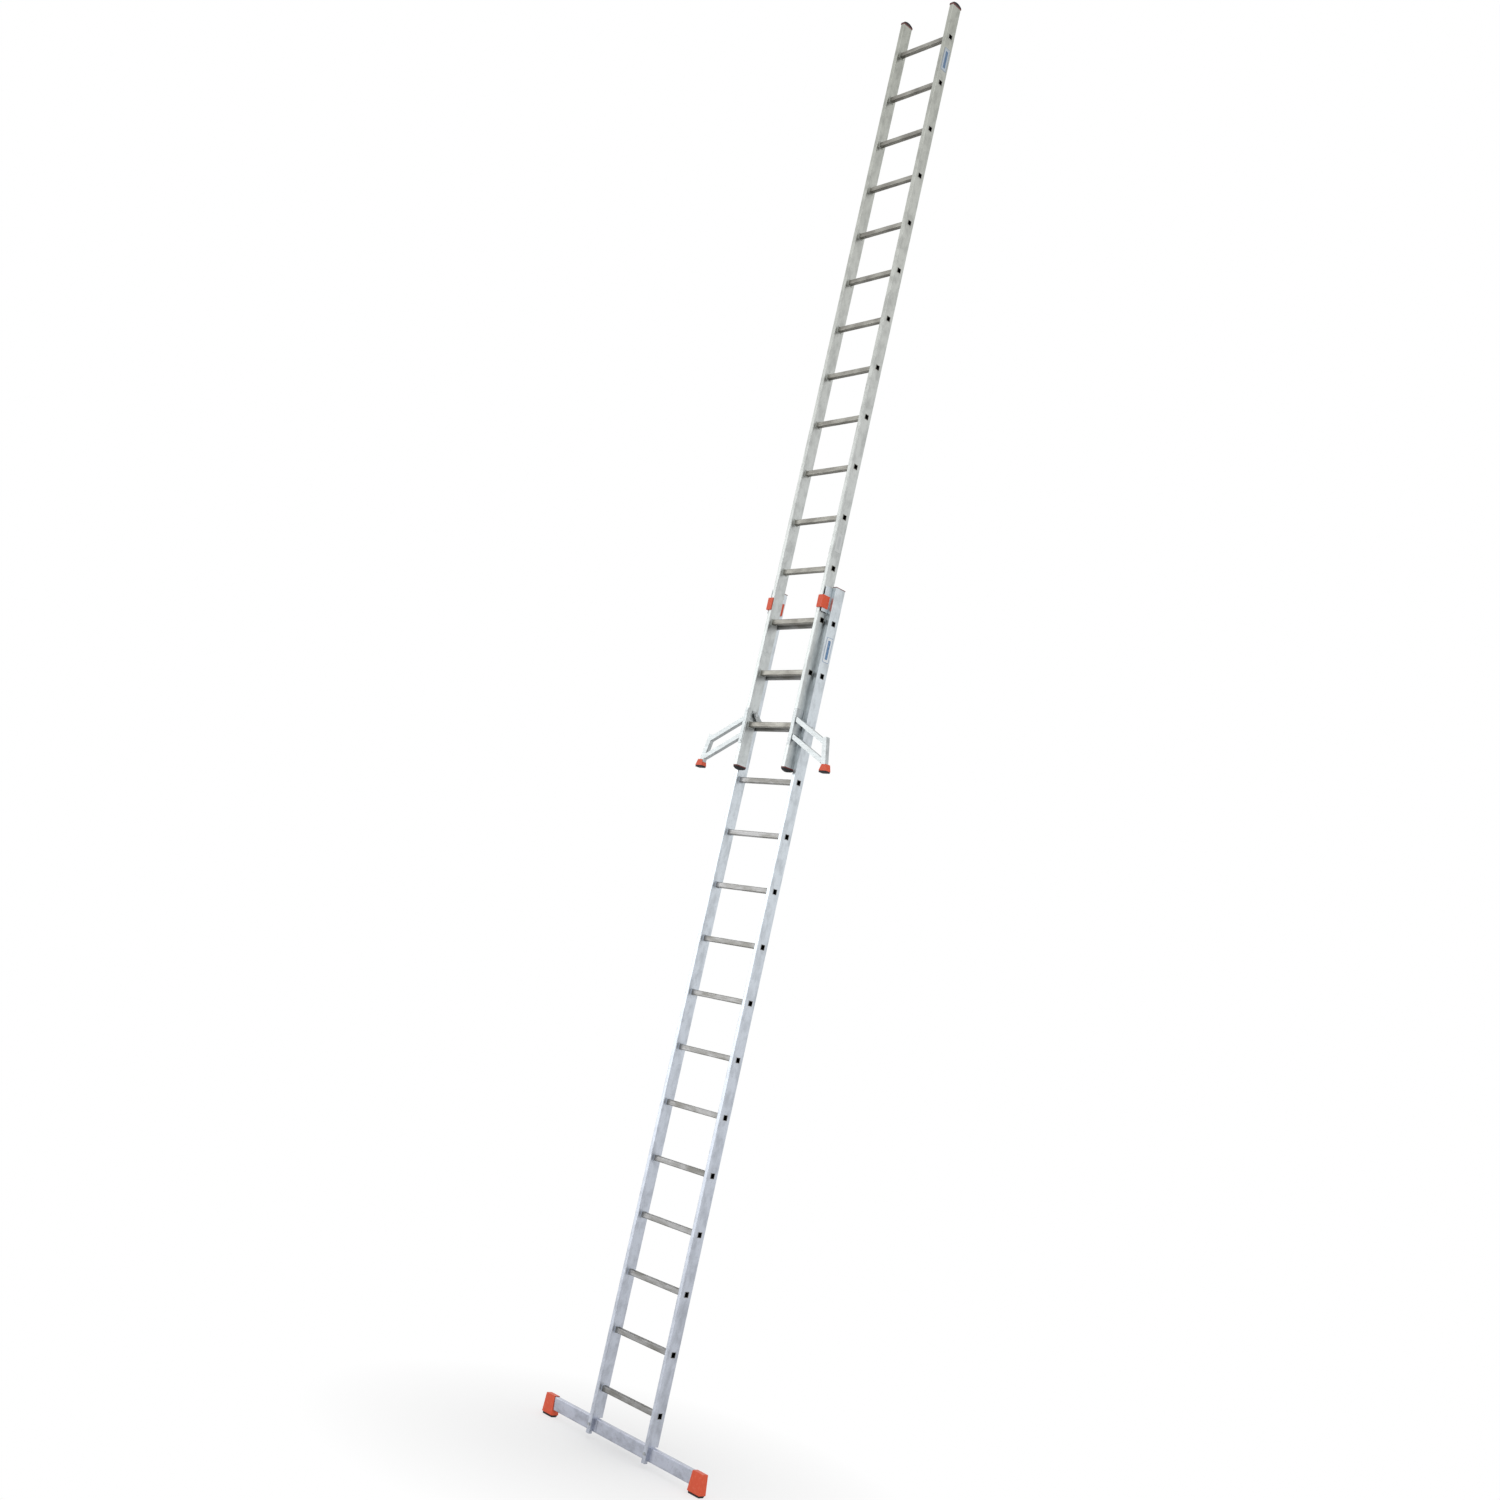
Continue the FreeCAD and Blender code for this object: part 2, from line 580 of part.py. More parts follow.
def plug(name, half_width, front, face, thickness, overhang, upwards):
    """A flanged plug: the flange lies on the tube's end and the insert fills its bore."""
    sign = "+" if upwards else "-"
    back_sign = "-" if upwards else "+"
    heights = sorted([face, "%s %s %s" % (face, sign, thickness)], key=sheet_value)
    flange = box(name + "_flange",
                 ("%s - stile_width - %s" % (half_width, overhang), "%s - %s" % (front, overhang), heights[0]),
                 ("%s + %s" % (half_width, overhang), "%s + stile_depth + %s" % (front, overhang), heights[1]))
    wall = "(stile_wall + seat_clearance)"
    ends = sorted([face, "%s %s plug_insert" % (face, back_sign)], key=sheet_value)
    insert = box(name + "_insert",
                 ("%s - stile_width + %s" % (half_width, wall), "%s + %s" % (front, wall), ends[0]),
                 ("%s - %s" % (half_width, wall), "%s + stile_depth - %s" % (front, wall), ends[1]))
    return fuse(name, [flange, insert])


def pad_form(name, base, upwards, overhang):
    """A rubber pad with a flat base and a crowned face, across the end of an upper stile."""
    crowned = "%s + upper_pad" % base if upwards else "%s - upper_pad" % base
    heights = sorted([base, crowned], key=sheet_value)
    inner = "upper_inside - " + overhang
    block = box(name + "_block", (inner, "upper_front - " + overhang, heights[0]),
                ("upper_half_width + " + overhang, "upper_back + " + overhang, heights[1]))
    half_chord = "(stile_depth / 2 + %s)" % overhang
    radius = "(%s * %s + pad_crown * pad_crown) / (2 * pad_crown)" % (half_chord, half_chord)
    sign = "-" if upwards else "+"
    crown = cylinder(name + "_crown", radius, "stile_width + 2 * " + overhang, "x",
                     (inner, "upper_rung_depth", "%s %s (%s)" % (crowned, sign, radius)))
    return common(name, [block, crown])


pair("lower_top_plugs", plug("lower_top_plug", "lower_half_width", "lower_front", "lower_end",
                             "lower_plug", "0", True))
pair("upper_top_plugs", plug("upper_top_plug", "upper_half_width", "upper_front", "upper_end",
                             "upper_plug", "plug_overhang", True))
pair("upper_top_pads", pad_form("upper_top_pad", "upper_end + upper_plug", True, "plug_overhang"))
pair("upper_bottom_plugs", plug("upper_bottom_plug", "upper_half_width", "upper_front", "upper_foot",
                                "upper_plug", "0", False))
pair("upper_bottom_pads", pad_form("upper_bottom_pad", "upper_foot - upper_plug", False, "0"))


# ---- guides at the lower section's top, which hold the upper stiles

plate_wide = box("guide_plate_wide",
                 ("plate_inner", "lower_front - plate_front", "lower_top_rung + plate_step"),
                 ("lower_inside", "lower_front + plate_back", "lower_top_rung + plate_top"))
plate_tail = box("guide_plate_tail",
                 ("plate_inner", "lower_front", "lower_top_rung - plate_tail"),
                 ("lower_inside", "tail_back", "lower_top_rung + plate_step"))
guide_plate = fuse("guide_plate", [plate_wide, plate_tail])
guide_drills = []
for number, (depth, height) in enumerate(guide_rivets_at):
    guide_drills.append(cylinder("guide_drill_%d" % number, "rivet_radius", "plate_gauge", "x",
                                 ("plate_inner", depth, height)))
left_and_right("guide_plate", cut("guide_plate_drilled", guide_plate, fuse("guide_drills", guide_drills)))

slider_body = document.addObject("PartDesign::Body", "guide_slider_right")
bind_place(slider_body, "0", "0", "lower_top_rung + slider_bottom")
slider_plan = sketch_on(slider_body, "slider_plan", "XY_Plane")
slider_inside_front = "upper_front - slide_clearance"
slider_front = slider_inside_front + " - slider_lip"
slider_skin_back = "lower_front - slider_skin_gap"
outline(slider_plan, [("plate_inner", "lower_front + slider_back"),
                      ("slider_inner", "lower_front + slider_back"),
                      ("slider_inner", slider_inside_front),
                      ("upper_half_width - slider_lip_reach", slider_inside_front),
                      ("upper_half_width - slider_lip_reach", slider_front),
                      ("lower_inside + slider_skin", slider_front),
                      ("lower_inside + slider_skin", slider_skin_back),
                      ("lower_inside", slider_skin_back),
                      ("lower_inside", "lower_front - plate_front"),
                      ("plate_inner", "lower_front - plate_front")])
pad(slider_body, slider_plan, "slider_height")
guide_pockets = sketch_on(slider_body, "slider_rivet_pocket", "YZ_Plane")
bind(guide_pockets, "AttachmentOffset.Base.z", "slider_inner")
for depth, height in guide_rivets_at[:1]:
    circle(guide_pockets, depth, "%s - lower_top_rung - slider_bottom" % height,
           "rivet_head_radius + seat_clearance")
pocket(slider_body, guide_pockets, "plate_inner - slider_inner")
left_and_right("guide_slider", slider_body)

guide_rivets = []
for number, (depth, height) in enumerate(guide_rivets_at):
    guide_rivets.append(rivet("guide_rivet_%d" % number, "x", ("plate_inner", depth, height),
                              "plate_gauge + stile_wall"))
pair("guide_rivets", group("guide_rivets_right", guide_rivets))


# ---- rung hooks: a plate that swings on a pin and drops over a rung of the lower section

hook_body = document.addObject("PartDesign::Body", "hook_right")
bind_place(hook_body, "hook_right_face - hook_gauge", "lower_rung_depth", "held_rung")
hook_side = sketch_on(hook_body, "hook_side", "YZ_Plane")
seat_height = "tread_half + hook_rest"
lip_front = "rung_side / 2 + hook_gap"
lip_back = lip_front + " + hook_lip"
lip_low = "tread_half - hook_lip_drop"
outline(hook_side, [("-rung_side / 2 - 3", seat_height),
                    (lip_front, seat_height),
                    (lip_front, lip_low),
                    (lip_back, lip_low),
                    (lip_back, seat_height + " + hook_lip * 2"),
                    ("-pivot_forward + eye_radius * 0.6", "pivot_rise + eye_radius * 0.8"),
                    ("-pivot_forward - eye_radius * 0.7", "pivot_rise - eye_radius * 0.7")])
pad(hook_body, hook_side, "hook_gauge")
hook_eye = sketch_on(hook_body, "hook_eye", "YZ_Plane")
circle(hook_eye, "-pivot_forward", "pivot_rise", "eye_radius")
pad(hook_body, hook_eye, "hook_gauge")
hook_bore = sketch_on(hook_body, "hook_bore", "YZ_Plane")
circle(hook_bore, "-pivot_forward", "pivot_rise", "pin_radius + pin_clearance")
pocket(hook_body, hook_bore, "hook_gauge")
left_and_right("hook", hook_body)

lug_plate = box("hook_lug_plate",
                ("upper_inside - lug_gauge", "pivot_depth - lug_half_width", "pivot_height - lug_below"),
                ("upper_inside", "pivot_depth + lug_half_width", "pivot_height + lug_above"))
lug_hole = cylinder("hook_lug_hole", "pin_radius + seat_clearance", "lug_gauge", "x",
                    ("upper_inside - lug_gauge", "pivot_depth", "pivot_height"))
pair("hook_brackets", cut("hook_bracket", lug_plate, lug_hole))

pin_start = "hook_right_face - hook_gauge - pin_clearance"
pin_shank = cylinder("hook_pin_shank", "pin_radius", "upper_inside - (%s)" % pin_start, "x",
                     (pin_start, "pivot_depth", "pivot_height"))
pin_head = cylinder("hook_pin_head", "pin_head_radius", "pin_head_height", "x",
                    (pin_start + " - pin_head_height", "pivot_depth", "pivot_height"))
pair("hook_pins", fuse("hook_pin", [pin_shank, pin_head]))

coils = []
for number in range(int(sheet.spring_turns)):
    coil = document.addObject("Part::Torus", "hook_spring_coil_%d" % number)
    coil.Placement = FreeCAD.Placement(FreeCAD.Vector(), axis_turns["x"])
    bind(coil, "Radius1", "pin_radius + spring_wire + 0.4")
    bind(coil, "Radius2", "spring_wire")
    bind_place(coil, "upper_inside - lug_gauge - spring_wire - %d * spring_pitch" % number,
               "pivot_depth", "pivot_height")
    coils.append(coil)
spring = fuse("hook_spring", coils)
pair("hook_springs", spring)


# ---- outriggers that widen the upper section's foot when it stands alone

mantle_top = "mantle_low + mantle_height"
mantle_side = box("mantle_side_leg", ("upper_half_width", "upper_front - mantle_gauge", "mantle_low"),
                  ("mantle_outer", "upper_front + mantle_side", mantle_top))
mantle_front = box("mantle_front_leg",
                   ("upper_half_width - mantle_front", "upper_front - mantle_gauge", "mantle_low"),
                   ("mantle_outer", "upper_front", mantle_top))
mantle = fuse("outrigger_bracket_blank", [mantle_side, mantle_front])
mantle_drills = []
mantle_rivets = []
for number, (face, across, height) in enumerate(mantle_rivets_at):
    grip = "mantle_gauge + stile_wall"
    if face == "x":
        drill_start = ("upper_half_width", across, height)
        rivet_start = ("upper_half_width - stile_wall", across, height)
    else:
        drill_start = (across, "upper_front - mantle_gauge", height)
        rivet_start = drill_start
    drill = cylinder("mantle_drill_%d" % number, "rivet_radius", "mantle_gauge", face, drill_start)
    mantle_drills.append(drill)
    mantle_rivets.append(rivet("outrigger_rivet_%d" % number, face, rivet_start, grip))
pair("outrigger_brackets", cut("outrigger_bracket", mantle, fuse("mantle_drills", mantle_drills)))
pair("outrigger_rivets", group("outrigger_rivets_right", mantle_rivets))


def tilted_tube(name, start, length, height, angle, inset):
    """A box tube in the outrigger's plane; inset shrinks it to the bore."""
    item = document.addObject("Part::Box", name)
    bind(item, "Length", length)
    bind(item, "Width", "outrigger_depth - 2 * (%s)" % inset)
    bind(item, "Height", "%s - 2 * (%s)" % (height, inset))
    item.Placement = FreeCAD.Placement(FreeCAD.Vector(), FreeCAD.Rotation(FreeCAD.Vector(0, 1, 0), 1))
    bind(item, "Placement.Rotation.Angle", angle)
    x, z = start
    across = "(%s / 2 - (%s))" % (height, inset)
    bind_place(item, "%s - %s * sin(%s)" % (x, across, angle), "outrigger_front + " + inset,
               "%s - %s * cos(%s)" % (z, across, angle))
    return item


leg_angle = "(90 - leg_lean) * 1deg"
arm_angle = "arm_slope * 1deg"
leg_top_out = "leg_foot_out - leg_top * tan(leg_lean * 1deg)"
arm_reach = "(leg_top_out - upper_half_width) / cos(arm_slope * 1deg)"
names["leg_top_out"] = "(" + cells(leg_top_out) + ")"
leg_length = "(leg_top - foot_sole - 6) / cos(leg_lean * 1deg)"
frame_tubes = {"0": [], "outrigger_wall": []}
for inset, tubes in frame_tubes.items():
    tag = "bore" if inset != "0" else "tube"
    tubes.append(tilted_tube("leg_" + tag, ("leg_top_out", "upper_sole + leg_top"), leg_length,
                             "leg_width", leg_angle, inset))
    for arm, drop, stretch in (("upper_arm", "0", "6"), ("lower_arm", "arm_gap", "16")):
        tubes.append(tilted_tube(arm + "_" + tag,
                                 ("upper_half_width", "upper_sole + arm_top_rise - " + drop),
                                 arm_reach + " + " + stretch, "arm_height", arm_angle, inset))
frame_solid = fuse("outrigger_solid", frame_tubes["0"])
frame_bores = fuse("outrigger_bores", frame_tubes["outrigger_wall"])
inner_trim = box("outrigger_trim", ("0", "outrigger_front - 5", "upper_sole"),
                 ("mantle_outer", "outrigger_front + outrigger_depth + 5", "upper_sole + 2 * leg_top + arm_gap"))
frame_hollow = cut("outrigger_hollow", frame_solid, frame_bores)
pair("outrigger_frames", cut("outrigger_frame", frame_hollow, inner_trim))

foot_block = document.addObject("Part::Wedge", "outrigger_foot_block")
for place, text in {"Xmin": "-foot_bottom", "Xmax": "foot_bottom", "Ymin": "0", "Ymax": "foot_height",
                    "Zmin": "-foot_depth", "Zmax": "foot_depth", "X2min": "-foot_top", "X2max": "foot_top",
                    "Z2min": "-outrigger_depth / 2 - 2", "Z2max": "outrigger_depth / 2 + 2"}.items():
    bind(foot_block, place, text)
foot_block.Placement = FreeCAD.Placement(FreeCAD.Vector(), FreeCAD.Rotation(FreeCAD.Vector(1, 0, 0), 90))
bind_place(foot_block, "leg_foot_out", "outrigger_middle", "upper_sole + foot_sole")
leg_socket = tilted_tube("outrigger_leg_socket", ("leg_top_out", "upper_sole + leg_top"),
                         leg_length + " + seat_clearance", "leg_width", leg_angle, "-seat_clearance")
pair("outrigger_feet", cut("outrigger_foot", foot_block, leg_socket))

foot_sole = document.addObject("PartDesign::Body", "outrigger_sole")
bind_place(foot_sole, "leg_foot_out - foot_bottom", "outrigger_middle - foot_depth", "upper_sole")
foot_plan = sketch_on(foot_sole, "outrigger_sole_plan", "XY_Plane")
rectangle(foot_plan, "0", "2 * foot_bottom", "0", "2 * foot_depth")
foot_pad = pad(foot_sole, foot_plan, "foot_sole")
round_edges(foot_sole, foot_pad, (0, 0, 1), "pad_round")
pair("outrigger_soles", foot_sole)


# ---- check every object and write one file for each piece

document.recompute()
for item in document.Objects:
    if "Invalid" in item.State or "Error" in item.State:
        raise ValueError(item.Name + " failed: " + " ".join(item.State))
labels = {}
for item in pieces:
    shape = item.Shape
    if shape.isNull() or not shape.isValid() or not shape.Solids:
        raise ValueError(item.Label + " has no sound shape")
    if item.Label in labels:
        raise ValueError(item.Label + " is named twice")
    labels[item.Label] = shape

os.makedirs("parts", exist_ok=True)
for label, shape in labels.items():
    shape.exportStep("parts/" + label + ".step")
    box_now = shape.BoundBox
    print("%-22s %2d solids  x %8.1f %8.1f  y %7.1f %7.1f  z %8.1f %8.1f" % (
        label, len(shape.Solids), box_now.XMin, box_now.XMax, box_now.YMin, box_now.YMax,
        box_now.ZMin, box_now.ZMax))
print(len(labels), "pieces")
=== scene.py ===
import math

import bmesh
import bpy
from mathutils import Matrix, Vector


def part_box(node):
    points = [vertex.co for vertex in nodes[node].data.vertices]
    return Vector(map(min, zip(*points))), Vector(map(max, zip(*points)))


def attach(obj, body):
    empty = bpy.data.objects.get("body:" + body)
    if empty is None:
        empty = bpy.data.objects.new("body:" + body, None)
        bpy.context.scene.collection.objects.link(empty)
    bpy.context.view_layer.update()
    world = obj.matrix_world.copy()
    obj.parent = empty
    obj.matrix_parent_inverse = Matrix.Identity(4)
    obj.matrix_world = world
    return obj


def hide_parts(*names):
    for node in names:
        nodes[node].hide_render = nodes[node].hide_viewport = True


# Two-section aluminium extension ladder: metres, +Z up along the stiles, +Y back to the wall.

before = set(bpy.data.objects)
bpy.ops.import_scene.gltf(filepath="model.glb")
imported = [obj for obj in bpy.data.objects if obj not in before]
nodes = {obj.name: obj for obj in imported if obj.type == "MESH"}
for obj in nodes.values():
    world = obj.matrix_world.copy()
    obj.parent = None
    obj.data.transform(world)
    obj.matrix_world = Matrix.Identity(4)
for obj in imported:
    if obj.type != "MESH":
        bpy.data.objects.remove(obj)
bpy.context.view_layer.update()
print("frame loaded:", len(nodes), "nodes")

mm = 0.001


# ---- small tools

def toLinear(hexColour):
    values = [int(hexColour[at:at + 2], 16) / 255 for at in (1, 3, 5)]
    linear = [v / 12.92 if v <= 0.04045 else ((v + 0.055) / 1.055) ** 2.4 for v in values]
    return (*linear, 1.0)


def addNode(tree, kind, settings=None, links=None):
    # settings are a node's own options or its sockets' values, links feed its sockets
    node = tree.nodes.new(kind)
    for name, value in (settings or {}).items():
        if isinstance(name, str) and hasattr(node, name):
            setattr(node, name, value)
        else:
            node.inputs[name].default_value = value
    for name, source in (links or {}).items():
        tree.links.new(source, node.inputs[name])
    return node


def startMaterial(name, shaderSettings):
    material = bpy.data.materials.new(name)
    material.use_nodes = True
    tree = material.node_tree
    tree.nodes.clear()
    shader = addNode(tree, "ShaderNodeBsdfPrincipled", shaderSettings)
    addNode(tree, "ShaderNodeOutputMaterial", links={"Surface": shader.outputs[0]})
    coords = addNode(tree, "ShaderNodeTexCoord").outputs["Object"]
    return material, tree, shader, coords


def dress(material, *names):
    for name in names:
        node = nodes[name]
        node.data.materials.clear()
        node.data.materials.append(material)


def centreOf(name):
    low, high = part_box(name)
    return (Vector(low) + Vector(high)) / 2


def rungNames(section):
    return sorted(name for name in nodes if name.startswith(section + "_rung_"))


def meshPiece(name, made, body, material):
    mesh = bpy.data.meshes.new(name)
    made.to_mesh(mesh)
    made.free()
    mesh.materials.append(material)
    piece = bpy.data.objects.new(name, mesh)
    bpy.context.scene.collection.objects.link(piece)
    if body:
        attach(piece, body)
    return piece


# ---- mill-finish aluminium: extruded and left bare, so it is satin, with faint drawn lines along
# ---- the profile and cloudy, duller stains where it has been handled and has oxidised

stileFinish = {
    "lower": {"low": 0.0, "high": 4.4, "tones": ["#c8cdd8", "#c4cad4", "#cdd4da", "#cbd2d6"]},
    "upper": {"low": 3.4, "high": 7.7, "tones": ["#c4c9c9", "#c1c4c2", "#bbbdb8", "#a9aba3"]},
    "crossbar": {"low": -1.0, "high": 1.0, "tones": ["#bec2ce", "#bec2ce"]},
    "outrigger": {"low": 3.3, "high": 3.7, "tones": ["#b3b8b9", "#b6bbbc"]},
}
aluminium = {"patch": 42 * mm, "spot": 9 * mm, "line": 1.2 * mm, "dull": 0.80, "spotDull": 0.84,
             "rough": (0.30, 0.46), "lineBump": 0.2 * mm}


def millAluminium(name, finish, along):
    material, tree, shader, coords = startMaterial(name, {"Metallic": 1.0})
    axes = addNode(tree, "ShaderNodeSeparateXYZ", links={0: coords})
    height = addNode(tree, "ShaderNodeMapRange", {"From Min": finish["low"], "From Max": finish["high"]},
                     {"Value": axes.outputs["Z"]})
    tones = addNode(tree, "ShaderNodeValToRGB", links={0: height.outputs[0]})
    ramp = tones.color_ramp
    last = len(finish["tones"]) - 1
    for number, tone in enumerate(finish["tones"]):
        place = number / last
        stop = ramp.elements[number and -1] if number in (0, last) else ramp.elements.new(place)
        stop.position = place
        stop.color = toLinear(tone)
    # cloudy patches a few centimetres long, drawn out along the profile, and small darker spots
    patchPlace = addNode(tree, "ShaderNodeMapping", {"Scale": [1 / (1 + 0.8 * a) for a in along]}, {0: coords})
    patches = addNode(tree, "ShaderNodeTexNoise", {"Scale": 1 / aluminium["patch"], "Detail": 6.0,
                                                   "Roughness": 0.62}, {0: patchPlace.outputs[0]})
    spots = addNode(tree, "ShaderNodeTexNoise", {"Scale": 1 / aluminium["spot"], "Detail": 2.0}, {0: coords})
    patchLevel = addNode(tree, "ShaderNodeMapRange", {"From Min": 0.36, "From Max": 0.56,
                                                      "To Min": aluminium["dull"], "To Max": 1.03},
                         {0: patches.outputs[0]})
    spotLevel = addNode(tree, "ShaderNodeMapRange", {"From Min": 0.27, "From Max": 0.40,
                                                     "To Min": aluminium["spotDull"], "To Max": 1.0},
                        {0: spots.outputs[0]})
    level = addNode(tree, "ShaderNodeMath", {"operation": "MULTIPLY"},
                    {0: patchLevel.outputs[0], 1: spotLevel.outputs[0]})
    stained = addNode(tree, "ShaderNodeVectorMath", {"operation": "SCALE"},
                      {0: tones.outputs[0], "Scale": level.outputs[0]})
    tree.links.new(stained.outputs[0], shader.inputs["Base Color"])
    # drawn lines 1.2 mm apart, coarser than the real ones, which are too fine to show
    linePlace = addNode(tree, "ShaderNodeMapping", {"Scale": [1 / (1 + 250 * a) for a in along]}, {0: coords})
    lines = addNode(tree, "ShaderNodeTexNoise", {"Scale": 1 / aluminium["line"], "Detail": 2.0},
                    {0: linePlace.outputs[0]})
    both = addNode(tree, "ShaderNodeMath", {"operation": "ADD"}, {0: lines.outputs[0], 1: patches.outputs[0]})
    rough = addNode(tree, "ShaderNodeMapRange", {"From Min": 0.7, "From Max": 1.3,
                                                 "To Min": aluminium["rough"][0],
                                                 "To Max": aluminium["rough"][1]}, {0: both.outputs[0]})
    tree.links.new(rough.outputs[0], shader.inputs["Roughness"])
    grooves = addNode(tree, "ShaderNodeBump", {"Strength": 0.12, "Distance": aluminium["lineBump"]},
                      {"Height": lines.outputs[0]})
    tree.links.new(grooves.outputs[0], shader.inputs["Normal"])
    return material


upright = (0, 0, 1)
sideways = (1, 0, 0)
lowerAluminium = millAluminium("millAluminiumLower", stileFinish["lower"], upright)
upperAluminium = millAluminium("millAluminiumUpper", stileFinish["upper"], upright)
crossbarAluminium = millAluminium("millAluminiumCrossbar", stileFinish["crossbar"], sideways)
outriggerAluminium = millAluminium("millAluminiumOutrigger", stileFinish["outrigger"], sideways)
dress(lowerAluminium, "lower_stile_left", "lower_stile_right", "guide_plate_left", "guide_plate_right")
dress(upperAluminium, "upper_stile_left", "upper_stile_right")
dress(crossbarAluminium, "crossbar", "crossbar_brackets")
dress(outriggerAluminium, "outrigger_frames", "outrigger_brackets")
print("stiles, crossbar and outriggers dressed")


# ---- ribbed rung aluminium: the same metal, set warmer and darker than the stiles; the flared ends take the
# ---- stile's tone, and the hollow end of each rung is painted nearly black as painted shade

rungFinish = {
    "lower": {"clean": "#a2a2a2", "worn": "#82817d", "end": "#c3c8cf"},
    "upper": {"clean": "#a2a19a", "worn": "#82807a", "end": "#b9bbb7"},
}
rung = {"bore": "#0b0b0d", "boreHalf": (11.4 * mm, 12.2 * mm), "flareFrom": 14.0 * mm,
        "patch": 34 * mm, "line": 1.2 * mm, "rough": (0.34, 0.52)}


def ribbedAluminium(name, finish, middle, pitch):
    material, tree, shader, coords = startMaterial(name, {"Metallic": 1.0})
    wearPlace = addNode(tree, "ShaderNodeMapping", {"Scale": (0.35, 1, 1)}, {0: coords})
    wear = addNode(tree, "ShaderNodeTexNoise", {"Scale": 1 / rung["patch"], "Detail": 5.0},
                   {0: wearPlace.outputs[0]})
    wearLevel = addNode(tree, "ShaderNodeMapRange", {"From Min": 0.36, "From Max": 0.62}, {0: wear.outputs[0]})
    metal = addNode(tree, "ShaderNodeMix", {"data_type": "RGBA", 6: toLinear(finish["clean"]),
                                            7: toLinear(finish["worn"])}, {0: wearLevel.outputs[0]})
    # how far a point is from its own rung's axis tells the painted shade of the hollow end, the ribbed faces and
    # the flares apart
    fromAxis = addNode(tree, "ShaderNodeVectorMath", {"operation": "SUBTRACT", 1: middle}, {0: coords})
    axes = addNode(tree, "ShaderNodeSeparateXYZ", links={0: fromAxis.outputs[0]})
    lift = addNode(tree, "ShaderNodeMath", {"operation": "WRAP", 1: pitch / 2, 2: -pitch / 2},
                   {0: axes.outputs["Z"]})
    across = addNode(tree, "ShaderNodeMath", {"operation": "ABSOLUTE"}, {0: axes.outputs["Y"]})
    above = addNode(tree, "ShaderNodeMath", {"operation": "ABSOLUTE"}, {0: lift.outputs[0]})
    away = addNode(tree, "ShaderNodeMath", {"operation": "MAXIMUM"}, {0: across.outputs[0], 1: above.outputs[0]})
    inFlare = addNode(tree, "ShaderNodeMath", {"operation": "GREATER_THAN", 1: rung["flareFrom"]},
                      {0: away.outputs[0]})
    flared = addNode(tree, "ShaderNodeMix", {"data_type": "RGBA", 7: toLinear(finish["end"])},
                     {0: inFlare.outputs[0], 6: metal.outputs[2]})
    # near-black painted shade on the rung end faces, standing in for the dark inside of the hollow rung
    inWidth = addNode(tree, "ShaderNodeMath", {"operation": "LESS_THAN", 1: rung["boreHalf"][0]},
                      {0: across.outputs[0]})
    inHeight = addNode(tree, "ShaderNodeMath", {"operation": "LESS_THAN", 1: rung["boreHalf"][1]},
                       {0: above.outputs[0]})
    inBoreShade = addNode(tree, "ShaderNodeMath", {"operation": "MULTIPLY"},
                     {0: inWidth.outputs[0], 1: inHeight.outputs[0]})
    colour = addNode(tree, "ShaderNodeMix", {"data_type": "RGBA", 7: toLinear(rung["bore"])},
                     {0: inBoreShade.outputs[0], 6: flared.outputs[2]})
    tree.links.new(colour.outputs[2], shader.inputs["Base Color"])
    linePlace = addNode(tree, "ShaderNodeMapping", {"Scale": (1 / 240, 1, 1)}, {0: coords})
    lines = addNode(tree, "ShaderNodeTexNoise", {"Scale": 1 / rung["line"], "Detail": 2.0},
                    {0: linePlace.outputs[0]})
    rough = addNode(tree, "ShaderNodeMapRange", {"From Min": 0.3, "From Max": 0.7, "To Min": rung["rough"][0],
                                                 "To Max": rung["rough"][1]}, {0: lines.outputs[0]})
    tree.links.new(rough.outputs[0], shader.inputs["Roughness"])
    grooves = addNode(tree, "ShaderNodeBump", {"Strength": 0.15, "Distance": 0.2 * mm},
                      {"Height": lines.outputs[0]})
    tree.links.new(grooves.outputs[0], shader.inputs["Normal"])
    return material


for section in ("lower", "upper"):
    rungs = rungNames(section)
    pitch = centreOf(rungs[1]).z - centreOf(rungs[0]).z
    dress(ribbedAluminium(section + "RungAluminium", rungFinish[section], centreOf(rungs[0]), pitch), *rungs)
print("rungs dressed")


# ---- moulded plastics and rubber

def mouldedMaterial(name, look):
    # polypropylene and rubber come from a matt, spark-eroded mould and scuff to a paler tone
    material, tree, shader, coords = startMaterial(name, {"IOR": look["ior"]})
    scuffs = addNode(tree, "ShaderNodeTexNoise", {"Scale": 1 / look["scuff"], "Detail": 7.0,
                                                  "Roughness": 0.6}, {0: coords})
    scuffLevel = addNode(tree, "ShaderNodeMapRange", {"From Min": 0.50, "From Max": 0.72,
                                                      "To Max": look["scuffed"]}, {0: scuffs.outputs[0]})
    colour = addNode(tree, "ShaderNodeMix", {"data_type": "RGBA", 6: toLinear(look["colour"]),
                                             7: toLinear(look["worn"])}, {0: scuffLevel.outputs[0]})
    tree.links.new(colour.outputs[2], shader.inputs["Base Color"])
    grain = addNode(tree, "ShaderNodeTexNoise", {"Scale": 1 / look["grain"], "Detail": 2.0}, {0: coords})
    rough = addNode(tree, "ShaderNodeMapRange", {"From Min": 0.3, "From Max": 0.7,
                                                 "To Min": look["rough"] - 0.07,
                                                 "To Max": look["rough"] + 0.07}, {0: grain.outputs[0]})
    tree.links.new(rough.outputs[0], shader.inputs["Roughness"])
    pits = addNode(tree, "ShaderNodeBump", {"Strength": 0.25, "Distance": 0.2 * mm}, {"Height": grain.outputs[0]})
    tree.links.new(pits.outputs[0], shader.inputs["Normal"])
    return material


